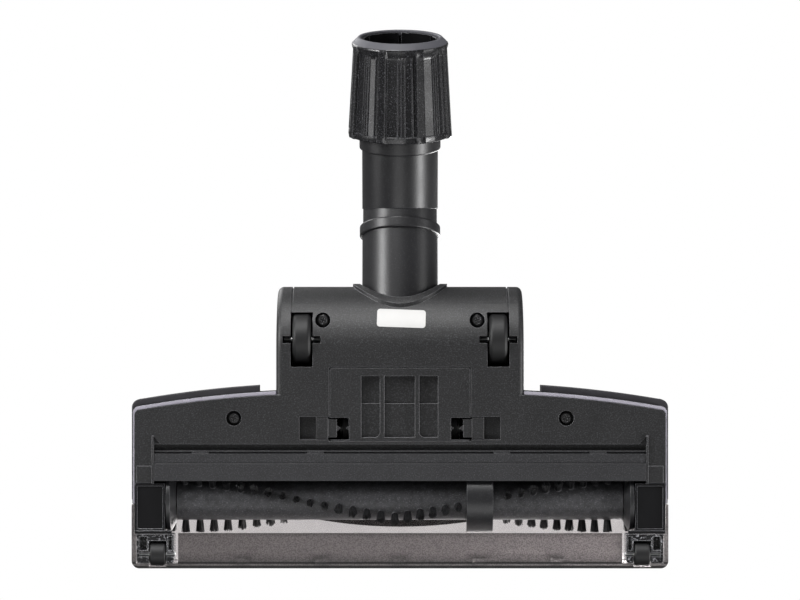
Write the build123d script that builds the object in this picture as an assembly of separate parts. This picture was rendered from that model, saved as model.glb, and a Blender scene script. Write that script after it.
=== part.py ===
from build123d import *
import math
import os

# Air-driven turbo brush floor nozzle, standing on its wheels.
# X across the nozzle, -Y towards the clear front hood, +Z up, millimetres.

# --- frame and outer sizes ---
frame_shift_y = 3.295      # moves the drawing so the whole object is centred on Y
half_width = 139.5         # outer shell, half of its width
front_y = -139.5           # front face of the hood
wall = 2.2                 # moulded wall thickness
fit_gap = 0.4              # gap between neighbouring mouldings
run_gap = 0.05             # radial clearance of a turning shaft

# --- sole ---
sole_z = 3.0               # underside of the base plate
tray_top_z = 8.0           # upper rim of the base plate under the wings
shell_rim_z = 6.4          # lower rim of the top shell at the wings
skirt_z = 3.9              # underside of the clear rim
skirt_side = 0.75          # its reach beyond the side of the base plate
lip_top_z = 4.2            # inner face of the hood's lip under the brush
split_z = 14.0             # joint between base plate and top shell on the turbine housing
base_half_width = 138.1
base_front_y = -75.0
wing_rear_inner_y = -49.4  # rear edge of the base plate beside the housing
wing_rear_outer_y = -57.2  # rear edge of the base plate at the corner
plate_corner = 2.4         # rounding of the base plate's rear corners
wing_bow = 1.1             # rise of the wings' rear edge over a straight line
rear_margin = 2.0          # top shell stands this far behind the base plate
arm_inner_x = 128.2        # side arms of the base plate run from here outwards
arm_front_y = -95.2

# --- turbine housing ---
block_half_width = 64.5
neck_y = -27.0             # tilt axis of the neck
neck_z = 37.0
barrel_outer = 34.0        # rounded rear end of the housing
dome_front_y = -121.0
dome_side_front_y = -112.4
wing_front_y = -106.0

# --- brush ---
brush_y = -104.6
brush_z = 18.0
core_radius = 10.8
tuft_radius = 17.5         # tip circle of the bristles
core_half_length = 116.4
tunnel_inner = 18.6
tunnel_outer = 20.4
tuft_pitch_left = 7.32     # spacing of the tufts towards +X
tuft_pitch_right = 6.55    # spacing of the tufts towards -X
tuft_middle_x = 2.6        # the chevrons meet a little off the middle
tuft_wrap = 0.91           # degrees of helix for each millimetre from the middle
tuft_apex_angle = 43.0     # apex of the first row, from straight down towards the front
tufts_left = 15
tufts_right = 17
row_angle = 145.0          # from the first row of tufts to the second
belt_x = -41.6
cap_radius = 16.6
guard_radius = 17.4        # belt guard, outside

# --- turbine ---
turbine_y = -68.0
turbine_z = 32.0
turbine_radius = 14.6
chamber_inner = 15.6
chamber_outer = 17.2
chamber_half = 30.0
shaft_radius = 2.0

# --- neck ---
tilt_rest = 14.5           # lower tube rises by this angle at rest
tilt_range = 46.0
elbow_angle = 29.7         # bend between lower and upper tube
lower_tube = 20.2
upper_tube = 20.3
tube_bore = 17.8
inner_barrel = 31.2
inner_barrel_half = 25.0
swivel_at = 64.8           # from the tilt axis, along the lower tube
mitre_at = 78.6
slot_radius = 21.2
rim_radius = 25.0
rim_height = 1.6

# --- adaptor, measured along the upper tube from the bend ---
swivel_radius = 21.6
collar_radius = 21.7
collar_from = 33.4
nut_from = 41.0
nut_to = 93.8
nut_wide = 28.9
nut_narrow = 25.7
nut_bore = 20.8
sleeve_from = 55.0
sleeve_to = 92.6
sleeve_outer = 20.4
sleeve_bore = 19.1
nut_ribs = 8
nut_turn = 24.0            # first rib, from +X towards straight down

# --- wheels ---
rear_wheel_x = 51.2
rear_wheel_y = -20.6
rear_wheel_radius = 13.4
rear_wheel_width = 9.6
dish_radius = 9.4          # hollow in each face of a rear wheel
dish_depth = 1.4
hub_radius = 4.0
axle_radius = 1.0
axle_length = 19.0
front_roller_x = 126.0
front_roller_y = -132.4
front_roller_radius = 6.0
front_roller_width = 8.2
front_axle_length = 18.4

# --- hatch and latches ---
hatch_half = 36.5
hatch_rear_y = -35.4
hatch_front_y = -73.1
latch_rear_y = -60.7
latch_front_y = -72.7
latch_slot_outer_x = 52.3
notch_inner_x = 26.5
hatch_window_rear_y = -39.5
hatch_window_front_y = -71.5
hatch_step_y = -53.9
hatch_windows = [(0.2, 16.0), (15.3, 9.8), (-14.9, 9.8)]    # middle and width of each

# --- fasteners: x, y, height of the recess floor ---
screw_spots = [(40.3, -10.5, 13.0), (86.5, -61.5, 8.4)]
recess_radius = 4.0


def block(x0, x1, y0, y1, z0, z1):
    """Box between two corners."""
    return Pos((x0 + x1) / 2, (y0 + y1) / 2, (z0 + z1) / 2) * Box(x1 - x0, y1 - y0, z1 - z0)


def round_x(radius, x0, x1, y, z):
    """Round bar along X."""
    return extrude(Plane(origin=(x0, y, z), x_dir=(0, 1, 0), z_dir=(1, 0, 0)) * Circle(radius), x1 - x0)


def ring_x(outer, inner, x0, x1, y, z):
    """Ring along X."""
    return round_x(outer, x0, x1, y, z) - round_x(inner, x0 - 1, x1 + 1, y, z)


def across(face, half):
    """Side profile (y, z) drawn out to both sides."""
    return extrude(Plane.YZ.offset(-half) * face, 2 * half)


def other_side(shape):
    return mirror(shape, Plane.YZ)


def both_sides(shape):
    return shape + other_side(shape)


def polygon(points):
    return make_face(Polyline(*points, close=True))


def along(angle, start):
    """Plane square to a neck tube, facing along it, start mm from the tilt axis."""
    turn = math.radians(angle)
    direction = (0, math.cos(turn), math.sin(turn))
    origin = (0, neck_y + start * direction[1], neck_z + start * direction[2])
    return Plane(origin=origin, x_dir=(1, 0, 0), z_dir=direction)


def upper_plane(start):
    """Plane square to the upper tube, start mm beyond the bend."""
    bend = along(tilt_rest, mitre_at).origin
    turn = math.radians(tilt_rest - elbow_angle)
    direction = (0, math.cos(turn), math.sin(turn))
    origin = (0, bend.Y + start * direction[1], bend.Z + start * direction[2])
    return Plane(origin=origin, x_dir=(1, 0, 0), z_dir=direction)


def disc_on(plane, radius, length):
    return extrude(plane * Circle(radius), length)


# ---------------------------------------------------------------- shells

def base_outline(grow=0.0, rear=0.0):
    """Plan of the wings; grow widens the sides, rear moves the back edge."""
    side = base_half_width + grow
    inner = wing_rear_inner_y + rear
    outer = wing_rear_outer_y + rear
    middle = (inner + outer) / 2 + wing_bow
    turn = plate_corner + grow
    bite = turn * (1 - math.sqrt(0.5))
    right = [
        Line((0, front_y - 5), (side, front_y - 5)),
        Line((side, front_y - 5), (side, outer - turn)),
        ThreePointArc((side, outer - turn), (side - bite, outer - bite), (side - turn, outer)),
        ThreePointArc((side - turn, outer), (100, middle), (block_half_width, inner)),
        Line((block_half_width, inner), (0, inner)),
    ]
    half = make_face(right + [Line((0, inner), (0, front_y - 5))])
    return half + mirror(half, Plane.YZ)


def housing_profile(shrink=0.0):
    """Side view of the turbine housing: flat sole, round rear end, falling roof."""
    radius = barrel_outer - shrink
    low = neck_z - radius
    top = neck_z + radius
    front = dome_front_y - 2
    edges = [
        Line((front, low), (neck_y, low)),
        ThreePointArc((neck_y, low), (neck_y + radius, neck_z), (neck_y, top)),
        Spline((neck_y, top), (-62, top - 5.6), (-95, 51.5 - shrink), (front, 43.8 - shrink),
               tangents=[(-1, 0), (-1, -0.12)]),
        Line((front, 43.8 - shrink), (front, low)),
    ]
    return make_face(edges)


def dome_plan(half):
    """Plan of the housing with its gently bowed front edge."""
    return make_face([
        Line((-half, 20), (half, 20)),
        Line((half, 20), (half, dome_side_front_y)),
        ThreePointArc((half, dome_side_front_y), (0, dome_front_y), (-half, dome_side_front_y)),
        Line((-half, dome_side_front_y), (-half, 20)),
    ])


def neck_slot(radius, start, reach):
    """Space that the lower tube sweeps as the neck tilts."""
    top = tilt_rest + tilt_range
    low_tube = disc_on(along(0, start), radius, reach)
    high_tube = disc_on(along(top, start), radius, reach)
    far = (start + reach) * 1.15
    steps = [top * i / 4 for i in range(5)]
    fan = [(neck_y, neck_z)]
    for angle in steps:
        turn = math.radians(angle)
        fan.append((neck_y + far * math.cos(turn), neck_z + far * math.sin(turn)))
    wedge = across(polygon(fan), radius) - round_x(start, -radius - 1, radius + 1, neck_y, neck_z)
    return low_tube + high_tube + wedge


def wing_profile(shrink=0.0):
    """Side view of the wings: low at the rear, rising to the brush."""
    return make_face([
        Line((wing_front_y, -1), (-38, -1)),
        Line((-38, -1), (-38, 19.5 - shrink)),
        ThreePointArc((-38, 19.5 - shrink), (-72, 34.2 - shrink), (wing_front_y, 41.0 - shrink)),
        Line((wing_front_y, 41.0 - shrink), (wing_front_y, -1)),
    ])


def housing_outer():
    body = across(housing_profile(), block_half_width)
    body = body & extrude(dome_plan(block_half_width), 90)
    sides = [e for e in body.edges() if abs(abs(e.center().X) - block_half_width) < 0.01
             and e.center().Z > sole_z + 3 and e.center().Y > dome_side_front_y + 1]
    body = fillet(sides, 3.0)
    front = [e for e in body.edges() if e.center().Y < dome_side_front_y and e.center().Z > 42]
    body = fillet(front, 1.5)
    pad = neck_slot(rim_radius, 20, 40) & round_x(barrel_outer + rim_height, -30, 30, neck_y, neck_z)
    return body + pad


def wings_outer():
    plan = base_outline(half_width - base_half_width, rear_margin)
    body = across(wing_profile(), half_width) & extrude(plan, 60)
    top = [e for e in body.edges() if e.center().Z > 15 and e.center().Y > wing_front_y + 1]
    return fillet(top, 3.0)


def wells(x0, x1, z0, z1, margin):
    reach = rear_wheel_radius + 0.8 + margin
    return block(x0, x1, rear_wheel_y - reach, rear_wheel_y + reach, z0, z1)


def base_plate():
    tray = extrude(Pos(0, 0, sole_z) * base_outline(), tray_top_z - sole_z)
    tray = tray & block(-150, 150, base_front_y, 0, 0, 20)
    corner = polygon([(arm_inner_x, base_front_y + 4.2), (arm_inner_x, base_front_y - 1),
                      (arm_inner_x - 4.6, base_front_y - 1)])
    corner = extrude(corner, sole_z + 1.6)
    hollow = offset(base_outline(), amount=-wall)
    inside = extrude(Pos(0, 0, sole_z + wall) * hollow, 20)
    tray = tray - (inside & block(-150, 150, base_front_y + wall, 0, 0, 30))
    web = block(-arm_inner_x, arm_inner_x, -87.2, base_front_y + 1, 6.6, tray_top_z + 0.4)
    arms = both_sides(block(arm_inner_x, base_half_width, arm_front_y, base_front_y + 1, sole_z, tray_top_z))
    arms = arms + both_sides(block(arm_inner_x, base_half_width - 1.2, arm_front_y, arm_front_y + 8.9,
                                   sole_z - 0.5, sole_z + 0.5))
    fin = block(arm_inner_x - 0.2, arm_inner_x + 0.8, arm_front_y - 0.3, base_front_y + 4.4,
                sole_z - 1.2, sole_z + 1)
    arms = arms + both_sides(fin)
    lower = housing_outer() & block(-70, 70, base_front_y, 20, 0, split_z)
    inner = across(housing_profile(wall), block_half_width - wall)
    lower = lower - (inner & block(-70, 70, base_front_y + wall, 20, 0, 60))
    plate = tray + web + arms + lower - both_sides(corner)
    plate = plate - (inner & block(-70, 70, base_front_y + wall, 20, sole_z + wall, 60))

    half_well = rear_wheel_width / 2 + 1.0
    boxes = wells(rear_wheel_x - half_well - 1.3, rear_wheel_x + half_well + 1.3, 5.0, 29.3, 1.3)
    bosses = block(rear_wheel_x - 10.6, rear_wheel_x + 10.6,
                   rear_wheel_y - 4.2, rear_wheel_y + 4.2, 4.0, 17.0)
    barrel_bound = round_x(barrel_outer - 0.6, -70, 70, neck_y, neck_z)
    barrel_bound = barrel_bound + block(-70, 70, -60, neck_y, 3.2, 40)
    plate = plate + both_sides((boxes + bosses) & barrel_bound)
    cavity = wells(rear_wheel_x - half_well, rear_wheel_x + half_well, 0, 28.0, 0)
    seat = block(rear_wheel_x - 9.9, rear_wheel_x + 9.9, rear_wheel_y - 1.05, rear_wheel_y + 1.05,
                 0, rear_wheel_radius + 1.05)
    mouth = block(rear_wheel_x - 9.9, rear_wheel_x + 9.9, rear_wheel_y - 1.9, rear_wheel_y + 1.9, 0, 9.5)
    plate = plate - both_sides(cavity + seat + mouth)

    for x, y, floor in screw_spots:
        boss = Pos(x, y, sole_z + 1.5) * Cylinder(recess_radius + 1.4, floor + 3 - sole_z - 1.5,
                                                  align=(Align.CENTER, Align.CENTER, Align.MIN))
        plate = plate + both_sides(boss & (barrel_bound + block(70, 100, -70, -50, 0, 30)))
        hole = Pos(x, y, 0) * Cylinder(recess_radius, floor, align=(Align.CENTER, Align.CENTER, Align.MIN))
        pilot = Pos(x, y, 0) * Cylinder(1.7, 40, align=(Align.CENTER, Align.CENTER, Align.MIN))
        plate = plate - both_sides(hole + pilot)

    plate = plate - block(-hatch_half - fit_gap, hatch_half + fit_gap, hatch_front_y - fit_gap,
                          hatch_rear_y + fit_gap, 0, 30)
    pan = block(hatch_half + 1.5, latch_slot_outer_x + 1.2,
                latch_front_y - 1.0, latch_rear_y + 1.2, 5.0, 8.8)
    plate = plate + both_sides(pan)
    plate = plate - both_sides(block(hatch_half, latch_slot_outer_x, latch_front_y, latch_rear_y, 0, 7.4))
    plate = plate - neck_slot(slot_radius, 20, 46)
    plate = plate - housing_grooves()
    return plate


def housing_grooves():
    """Fine seam lines across the round rear end."""
    ring = ring_x(barrel_outer + 2, barrel_outer - 0.8, 56.2, 57.1, neck_y, neck_z)
    return both_sides(ring & block(50, 60, rear_wheel_y + rear_wheel_radius + 0.3, 20, 0, 60))


def top_shell():
    body = housing_outer() & block(-70, 70, dome_front_y - 5, 20, split_z, 90)
    wings = wings_outer() & block(-150, 150, wing_front_y, 0, shell_rim_z, 60)
    body = body + (wings - block(-block_half_width, block_half_width, base_front_y, 20, 0, split_z))
    room = across(housing_profile(wall), block_half_width - wall)
    room = room & block(-70, 70, wing_front_y - 1, 20, 0, 90)
    inner_plan = extrude(base_outline(0.1, 0.1), 60)
    wing_room = across(wing_profile(wall), 150) & inner_plan & block(-150, 150, wing_front_y - 1, 0, 0, 60)
    body = body - room - wing_room
    body = body - (hood_solid(fit_gap) & block(-150, 150, front_y, wing_front_y - 0.01, 0, 60))
    body = body - block(-block_half_width - 0.1, block_half_width + 0.1, dome_front_y - 5, base_front_y,
                        0, 36)
    body = body - neck_slot(slot_radius, 20, 46)
    body = body - housing_grooves()
    return body


def hood_profile(grow=0.0):
    """Side view of the clear hood's outside."""
    return make_face([
        Line((wing_front_y + 3, sole_z - 0.8), (front_y - grow, sole_z - 0.8)),
        Line((front_y - grow, sole_z - 0.8), (front_y - grow, 15)),
        ThreePointArc((front_y - grow, 15), (-131.2 - 0.6 * grow, 33.0 + 0.8 * grow),
                      (wing_front_y - 6, 40.6 + grow)),
        Line((wing_front_y - 6, 40.6 + grow), (wing_front_y + 3, 41.0 + grow)),
        Line((wing_front_y + 3, 41.0 + grow), (wing_front_y + 3, sole_z - 0.8)),
    ])


def hood_solid(grow=0.0):
    return across(hood_profile(grow), half_width)


def clear_hood():
    body = hood_solid()
    corners = [e for e in body.edges() if abs(abs(e.center().X) - half_width) < 0.01
               and e.center().Y < wing_front_y - 2 and e.center().Z > sole_z]
    body = fillet(corners, 4.0)
    body = body & block(-150, 150, front_y, wing_front_y - fit_gap, 0, 60)
    room = across(hood_profile(-wall), half_width - wall)
    room = room & block(-150, 150, front_y + wall, 0, lip_top_z, 60)
    body = body - room
    body = body - block(-115.4, 115.4, -121.2, 0, 0, 20)
    body = body - both_sides(block(115.4, 137.2, front_y + wall + 0.3, 0, 0, 20) + roller_room())
    body = body - both_sides(block(115.4, base_half_width + 0.1, -121.9, 0, 0, 31.2))
    ribs = Part()
    for i in range(-2, 3):
        ribs = ribs + block(i * 40.8 - 3.2, i * 40.8 + 3.2, front_y + 1, front_y + 5.0, sole_z, sole_z + 5)
    return body + ribs


def skirt():
    """Pale clear rim between base plate and top shell, along one wing and down its side."""
    outer = extrude(Pos(0, 0, skirt_z) * base_outline(skirt_side, rear_margin - 0.1), 2.4)
    inner = extrude(base_outline(0.15, 0.15), 30)
    band = outer - inner
    return band & block(block_half_width + 0.1, 150, wing_front_y, 0, 0, 30)


def bumper():
    """Soft strip along the rear of one wing and round its corner."""
    outer = base_outline(half_width - base_half_width + 0.5, rear_margin + 3.4)
    inner = base_outline(half_width - base_half_width, rear_margin)
    strip = extrude(Pos(0, 0, 9.0) * outer, 9.5) - extrude(Pos(0, 0, 8.0) * inner, 14)
    strip = strip & block(73.5, 150, -104, 0, 0, 30)
    return strip


def sole_bar():
    """Cross bar that closes the rear of the suction mouth, stepped along its middle."""
    half = arm_inner_x - 0.3
    bar = block(-half, half, -94.1, -79.9, 1.2, 6.5)
    bar = bar - round_x(tuft_radius + 0.7, -150, 150, brush_y, brush_z)
    bar = bar - block(-150, 150, -85.1, -79, 0, 2.3)
    heel = [e for e in bar.edges() if abs(e.center().Y + 94.1) < 0.1 and e.center().Z < 1.5]
    bar = fillet(heel, 0.4)
    lip = block(-half, half, -79.2, -78.3, 3.4, 6.5)
    clips = Part()
    for x in (104, 44, -53, -103):
        clips = clips + block(x - 4.3, x + 4.3, -80.2, -78.4, 2.8, 6.5)
    return bar + lip + clips


def brush_tunnel():
    """Curved wall behind and over the brush, with the air way to the turbine."""
    ring = ring_x(tunnel_outer, tunnel_inner, -121.9, 121.9, brush_y, brush_z)
    fan = [(brush_y, brush_z)]
    for angle in (-28, 20, 60, 94):
        turn = math.radians(angle)
        fan.append((brush_y + 40 * math.cos(turn), brush_z + 40 * math.sin(turn)))
    ring = ring & across(polygon(fan), 130)
    ring = ring - block(-26, 26, -95, -80, 15, 29)
    return ring - block(belt_x - 5.6, belt_x + 5.6, -98, -80, 9, 37)


def end_block():
    """Bearing housing of the brush with its flat underside."""
    body = block(122.3, base_half_width - 0.1, -120.1, -95.5, sole_z, 31)
    body = body - block(123.4, base_half_width - 1.4, -119.0, -96.8, 0, sole_z + 0.9)
    screen = block(118.3, 122.4, -121.6, -106.0, brush_z + 0.6, 31)
    body = body + screen - round_x(cap_radius + 0.3, 116, 121.9, brush_y, brush_z)
    body = body + block(118.6, base_half_width - 0.1, -121.6, -120.0, sole_z - 0.4, sole_z + 3)
    body = body - round_x(6.05, 120, 129, brush_y, brush_z)
    return body


def roller_room():
    """Space that a front roller needs, through the lower edge of the hood."""
    mid = front_roller_width / 2 + 0.5
    return block(front_roller_x - mid, front_roller_x + mid, front_y + 0.6, front_roller_y + 7.2, 0, 13.6)


def roller_pocket():
    """Glossy corner box that carries a front roller."""
    body = block(117.6, 137.0, front_y + wall + 0.4, -121.9, sole_z, 15.0)
    corner = [e for e in body.edges().filter_by(Axis.Z) if e.center().Y < -130]
    body = fillet(corner, 1.5)
    slot = block(front_roller_x - 9.3, front_roller_x + 9.3, front_roller_y - 1.05, front_roller_y + 1.05,
                 0, front_roller_radius + 1.05)
    cells = Part()
    for x0, x1 in ((118.6, 120.6), (131.6, 135.6)):
        cells = cells + block(x0, x1, front_roller_y + 2.2, -123.0, 0, 8.0)
    return body - roller_room() - slot - cells


# ---------------------------------------------------------------- sole fittings

def hatch_window(x, width, z_low, z_high, front):
    return block(x - width / 2, x + width / 2, front, hatch_window_rear_y, z_low, z_high)


def service_hatch():
    """Flat cover with three stepped windows and a notch for each latch."""
    plate = block(-hatch_half, hatch_half, hatch_front_y, hatch_rear_y, sole_z, 7.4)
    plate = fillet(plate.edges().filter_by(Axis.Z), 1.2)
    for x, width in hatch_windows:
        low = hatch_window(x, width, 0, 5.2, hatch_window_front_y)
        inner = [e for e in low.edges().filter_by(Axis.Z)
                 if abs(e.center().X) < abs(x) and e.center().Y < hatch_step_y]
        if inner and abs(x) > 5:
            low = fillet(inner, 3.0)
        plate = plate - low - hatch_window(x, width, 0, 6.4, hatch_step_y)
    notch = block(notch_inner_x, hatch_half + 1, latch_front_y, latch_rear_y - 0.5, 0, 10)
    y_mid = (latch_rear_y + latch_front_y) / 2
    pip = polygon([(notch_inner_x - 0.3, y_mid - 1.4), (notch_inner_x - 0.3, y_mid + 1.4),
                   (notch_inner_x + 1.6, y_mid)])
    return plate - both_sides(notch) + both_sides(extrude(Pos(0, 0, sole_z + 1.2) * pip, 2.4))


def latch():
    """Sliding catch of the hatch, with finger block, neck and pointed tongue."""
    y_mid = (latch_rear_y + latch_front_y) / 2
    head = block(37.4, 43.8, latch_front_y + 0.3, latch_rear_y - 0.3, sole_z + 0.2, 7.0)
    head = fillet([e for e in head.edges() if e.center().Z < sole_z + 0.3], 0.5)
    waist = block(32.9, 37.9, latch_front_y + 1.3, latch_rear_y - 1.3, sole_z + 0.7, 6.6)
    tongue = polygon([(33.2, y_mid - 1.6), (33.2, y_mid + 1.6), (31.2, y_mid + 0.3), (31.2, y_mid - 0.3)])
    return head + waist + extrude(Pos(0, 0, sole_z + 1.2) * tongue, 2.4)


def housing_screws():
    """Cross-head screws that hold the base plate to the shell."""
    screws = Part()
    for x, y, floor in screw_spots:
        head = Pos(x, y, floor - 2.4) * Cylinder(3.2, 2.4, align=(Align.CENTER, Align.CENTER, Align.MIN))
        rim = [e for e in head.edges() if e.center().Z < floor - 2.3]
        head = fillet(rim, 1.0)
        cross = Box(4.0, 0.9, 2.0) + Box(0.9, 4.0, 2.0)
        shank = Pos(x, y, floor) * Cylinder(1.5, 9, align=(Align.CENTER, Align.CENTER, Align.MIN))
        screw = head - Pos(x, y, floor - 2.2) * Rot(0, 0, 20) * cross + shank
        screws = screws + both_sides(screw)
    return screws


def blank_label():
    """Thin sticker on the round rear end, below the neck."""
    plan = Pos(-0.7, -9.6, 0) * Rot(0, 0, 2) * RectangleRounded(25.4, 9.3, 1.6)
    shell = ring_x(barrel_outer + 0.22, barrel_outer, -20, 20, neck_y, neck_z)
    return shell & extrude(plan, 20)


def pivot_block():
    """Stand that carries one trunnion of the neck."""
    body = block(inner_barrel_half + 0.5, 32.0, neck_y - 7, neck_y + 7, sole_z + wall, neck_z + 8)
    body = body & round_x(barrel_outer - wall, 20, 40, neck_y, neck_z)
    return body - round_x(4.0 + run_gap, 20, 40, neck_y, neck_z)


# ---------------------------------------------------------------- wheels

def rear_wheel():
    half = rear_wheel_width / 2
    place = (rear_wheel_y, rear_wheel_radius)
    body = round_x(rear_wheel_radius, rear_wheel_x - half, rear_wheel_x + half, *place)
    rims = [e for e in body.edges()
            if e.length > 60 and abs(abs(e.center().X - rear_wheel_x) - half) < 0.01]
    body = fillet(rims, 2.2)
    for x in (rear_wheel_x - half, rear_wheel_x + half):
        body = body - ring_x(dish_radius, hub_radius, x - dish_depth, x + dish_depth, *place)
    return body - round_x(axle_radius + run_gap, 0, 90, *place)


def rear_axle():
    half = axle_length / 2
    return round_x(axle_radius, rear_wheel_x - half, rear_wheel_x + half, rear_wheel_y, rear_wheel_radius)


def front_roller():
    half = front_roller_width / 2
    body = round_x(front_roller_radius, front_roller_x - half, front_roller_x + half,
                   front_roller_y, front_roller_radius)
    body = fillet([e for e in body.edges() if e.length > 30 and e.geom_type == GeomType.CIRCLE], 1.0)
    return body - round_x(axle_radius + run_gap, 0, 150, front_roller_y, front_roller_radius)


def front_axle():
    half = front_axle_length / 2
    return round_x(axle_radius, front_roller_x - half, front_roller_x + half,
                   front_roller_y, front_roller_radius)


# ---------------------------------------------------------------- brush

def brush_core():
    body = round_x(core_radius, -core_half_length, core_half_length, brush_y, brush_z)
    body = body - ring_x(20, 8.0, belt_x - 6.6, belt_x + 6.6, brush_y, brush_z)
    return body - round_x(2.5, -150, 150, brush_y, brush_z)


def tuft_angles():
    """Each tuft's place along the brush and turn round it, for both chevron rows."""
    places = []
    for row in (0, row_angle):
        for i in range(-tufts_right, tufts_left + 1):
            away = i * (tuft_pitch_left if i > 0 else tuft_pitch_right)
            if abs(tuft_middle_x + away - belt_x) > 8.6:
                places.append((tuft_middle_x + away, tuft_apex_angle + row - tuft_wrap * abs(away)))
    return places


def tuft(x, angle):
    """One flared tuft; angle from straight down towards the front."""
    turn = math.radians(angle)
    direction = (0, -math.sin(turn), -math.cos(turn))
    root = core_radius - 0.6
    start = Plane(origin=(x, brush_y + root * direction[1], brush_z + root * direction[2]),
                  x_dir=(1, 0, 0), z_dir=direction)
    foot = start * Circle(1.3)
    tip = start.offset(tuft_radius - root - 0.2) * Circle(2.0)
    return loft([foot, tip])


def tufts(end_ones):
    group = []
    limit = 104.5
    for x, angle in tuft_angles():
        if (abs(x - tuft_middle_x) > limit) == end_ones:
            group.append(tuft(x, angle))
    return Compound(group)


def brush_shaft():
    return round_x(2.5, -128.6, 128.6, brush_y, brush_z)


def brush_bearing():
    return ring_x(6.0, 2.5 + run_gap, 123.0, 128.9, brush_y, brush_z)


def bearing_cap():
    """Slanted thread guard between the brush end and its bearing."""
    foot = Plane(origin=(core_half_length + 0.5, brush_y, brush_z), x_dir=(0, 1, 0), z_dir=(1, 0, 0))
    cone = loft([foot * Circle(11.4), foot.offset(2.9) * Circle(cap_radius)])
    disc = round_x(cap_radius, core_half_length + 3.4, core_half_length + 5.3, brush_y, brush_z)
    return cone + disc - round_x(3.2, 100, 140, brush_y, brush_z)


def toothed_wheel(radius, depth, teeth, x0, x1, y, z, bore):
    """Pulley with square teeth for a toothed belt."""
    body = round_x(radius, x0, x1, y, z)
    gap_width = math.pi * radius / teeth
    for i in range(teeth):
        gap = block(x0 - 1, x1 + 1, -gap_width / 2, gap_width / 2, radius - depth, radius + 2)
        body = body - Pos(0, y, z) * Rot(360 / teeth * i, 0, 0) * gap
    return body - round_x(bore, x0 - 2, x1 + 2, y, z)


brush_pulley_radius = 9.4
turbine_pulley_radius = 4.7


def brush_pulley():
    return toothed_wheel(brush_pulley_radius, 0.8, 24, belt_x - 5.0, belt_x + 5.0, brush_y, brush_z, 8.0)


def turbine_pulley():
    return toothed_wheel(turbine_pulley_radius, 0.8, 12, belt_x - 5.0, belt_x + 5.0, turbine_y, turbine_z,
                         shaft_radius)


def belt_loop(grow):
    big = Pos(brush_y, brush_z) * Circle(brush_pulley_radius + grow)
    small = Pos(turbine_y, turbine_z) * Circle(turbine_pulley_radius + grow)
    return make_hull(big.edges() + small.edges())


def drive_belt():
    face = belt_loop(1.6) - belt_loop(0.35)
    return extrude(Plane.YZ.offset(belt_x - 4.0) * face, 8.0)


def belt_guard():
    """Fixed saddle that shields the belt under the brush."""
    band = ring_x(guard_radius, guard_radius - 1.6, belt_x - 6.8, belt_x + 6.8, brush_y, brush_z)
    for side in (belt_x - 6.8, belt_x + 5.6):
        band = band + ring_x(guard_radius, 12.6, side, side + 1.2, brush_y, brush_z)
    fan = [(brush_y, brush_z)]
    for angle in (-179, -115, -52):
        turn = math.radians(angle)
        fan.append((brush_y + 60 * math.cos(turn), brush_z + 60 * math.sin(turn)))
    return band & across(polygon(fan), 90)


# ---------------------------------------------------------------- turbine

def turbine_wheel():
    body = round_x(5.0, -25, 25, turbine_y, turbine_z)
    for x in (-25, -0.6, 23.8):
        body = body + round_x(turbine_radius - 1.2, x, x + 1.2, turbine_y, turbine_z)
    blade_face = make_face([
        ThreePointArc((4.4, -0.5), (10.2, 1.6), (turbine_radius, 5.4)),
        Line((turbine_radius, 5.4), (turbine_radius - 0.5, 6.4)),
        ThreePointArc((turbine_radius - 0.5, 6.4), (9.6, 2.8), (4.4, 0.7)),
        Line((4.4, 0.7), (4.4, -0.5)),
    ])
    blade = extrude(Plane.YZ.offset(-25) * blade_face, 50)
    for i in range(12):
        body = body + Pos(0, turbine_y, turbine_z) * Rot(30 * i, 0, 0) * blade
    limit = round_x(turbine_radius, -25, 25, turbine_y, turbine_z)
    return (body & limit) - round_x(shaft_radius, -40, 40, turbine_y, turbine_z)


def turbine_shaft():
    return round_x(shaft_radius, belt_x - 6.0, 34.0, turbine_y, turbine_z)


def turbine_bearing():
    return ring_x(5.5, shaft_radius + run_gap, 28.0, 31.6, turbine_y, turbine_z)


def turbine_chamber():
    body = ring_x(chamber_outer, chamber_inner, -chamber_half, chamber_half, turbine_y, turbine_z)
    ends = both_sides(round_x(chamber_outer, chamber_half - 1.8, chamber_half, turbine_y, turbine_z))
    body = body + ends - round_x(5.5, -40, 40, turbine_y, turbine_z)
    body = body - block(-24, 24, -90, -77, 19, 30)
    return body - block(-24, 24, -60, -48, 26, 44)


# ---------------------------------------------------------------- neck

def neck_barrel():
    """Tilting drum with trunnions and the lower tube."""
    drum = round_x(inner_barrel, -inner_barrel_half, inner_barrel_half, neck_y, neck_z)
    room_half = inner_barrel_half - 2.4
    drum = drum - round_x(inner_barrel - 2.4, -room_half, room_half, neck_y, neck_z)
    fan = [(neck_y, neck_z)]
    for angle in (-93, -45, 0, 50, 100):
        turn = math.radians(angle)
        fan.append((neck_y + 60 * math.cos(turn), neck_z + 60 * math.sin(turn)))
    drum = drum & across(polygon(fan), 40)
    hubs = both_sides(round_x(8.0, inner_barrel_half - 2.4, inner_barrel_half, neck_y, neck_z))
    pins = both_sides(round_x(4.0, inner_barrel_half - 1, 31.0, neck_y, neck_z))
    tube = disc_on(along(tilt_rest, 23.5), lower_tube, swivel_at - 23.5)
    return drum + hubs + pins + tube - disc_on(along(tilt_rest, 12), tube_bore, swivel_at)


def swivel_ring():
    ring = disc_on(along(tilt_rest, swivel_at - 2.0), swivel_radius, 5.8)
    ring = ring - disc_on(along(tilt_rest, 40), lower_tube, 60)
    rims = [e for e in ring.edges()
            if e.geom_type == GeomType.CIRCLE and abs(e.radius - swivel_radius) < 0.01]
    return fillet(rims, 0.8)


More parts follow.
